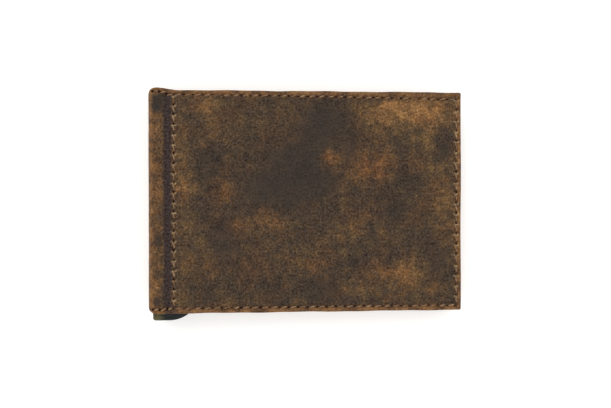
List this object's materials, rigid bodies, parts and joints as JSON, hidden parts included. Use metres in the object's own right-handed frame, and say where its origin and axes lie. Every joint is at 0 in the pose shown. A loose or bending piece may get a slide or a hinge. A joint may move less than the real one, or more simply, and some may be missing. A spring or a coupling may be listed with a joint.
{
  "type": "money clip wallet",
  "caption": "Closed bifold wallet of mottled brown leather, with card slots inside each cover and a sprung metal note clip riveted to its spine.",
  "frame": {"origin": "middle of the back cover's outer face, the face the closed wallet lies on", "axes": "+X from the spine to the opening edge, +Y up the spine away from the clip pivot, +Z from the back cover to the front cover"},
  "size_m": [0.1102, 0.0799, 0.0169],
  "materials": {
    "cover_leather": "waxed brown pull-up leather, mottled and scuffed",
    "lining_leather": "thin smooth lining leather",
    "slot_leather": "matte brown leather with cut edges",
    "clip_metal": "gunmetal plating, worn to brass at the bends",
    "spring_steel": "blued spring steel",
    "rivet_metal": "antique brass",
    "thread": "waxed tan thread"
  },
  "bodies": {
    "back": {"back_cover_leather": "cover_leather", "back_lining": "lining_leather", "back_slot_panel": "slot_leather", "back_card_slot_upper": "slot_leather", "back_card_slot_middle": "slot_leather", "back_card_slot_lower": "slot_leather"},
    "spine": {"spine_leather": "cover_leather", "spine_lining": "lining_leather", "clip_base": "clip_metal", "leaf_spring": "spring_steel", "spring_rivet": "rivet_metal", "base_rivet_upper": "rivet_metal", "base_rivet_lower": "rivet_metal", "rivet_washer_upper": "rivet_metal", "rivet_washer_lower": "rivet_metal", "pivot_rivet": "rivet_metal"},
    "front": {"front_cover_leather": "cover_leather", "front_lining": "lining_leather", "front_slot_panel": "slot_leather", "front_card_slot_upper": "slot_leather", "front_card_slot_middle": "slot_leather", "front_card_slot_lower": "slot_leather"},
    "arm": {"clip_arm": "clip_metal"}
  },
  "joints": [
    {"name": "spine_fold", "type": "hinge", "parent": "back", "child": "spine", "pos_m": [-0.05369, 0, 0.00128], "axis": [0, -1, 0], "range_deg": [0, 91.4]},
    {"name": "front_fold", "type": "hinge", "parent": "spine", "child": "front", "pos_m": [-0.05334, 0, 0.01581], "axis": [0, -1, 0], "range_deg": [0, 91.4]},
    {"name": "clip_turn", "type": "hinge", "parent": "spine", "child": "arm", "pos_m": [-0.04479, -0.0335, 0.00833], "axis": [-0.0244, 0, -0.9997], "range_deg": [0, 100], "stiffness_Nm_per_rad": 0.05}
  ]
}
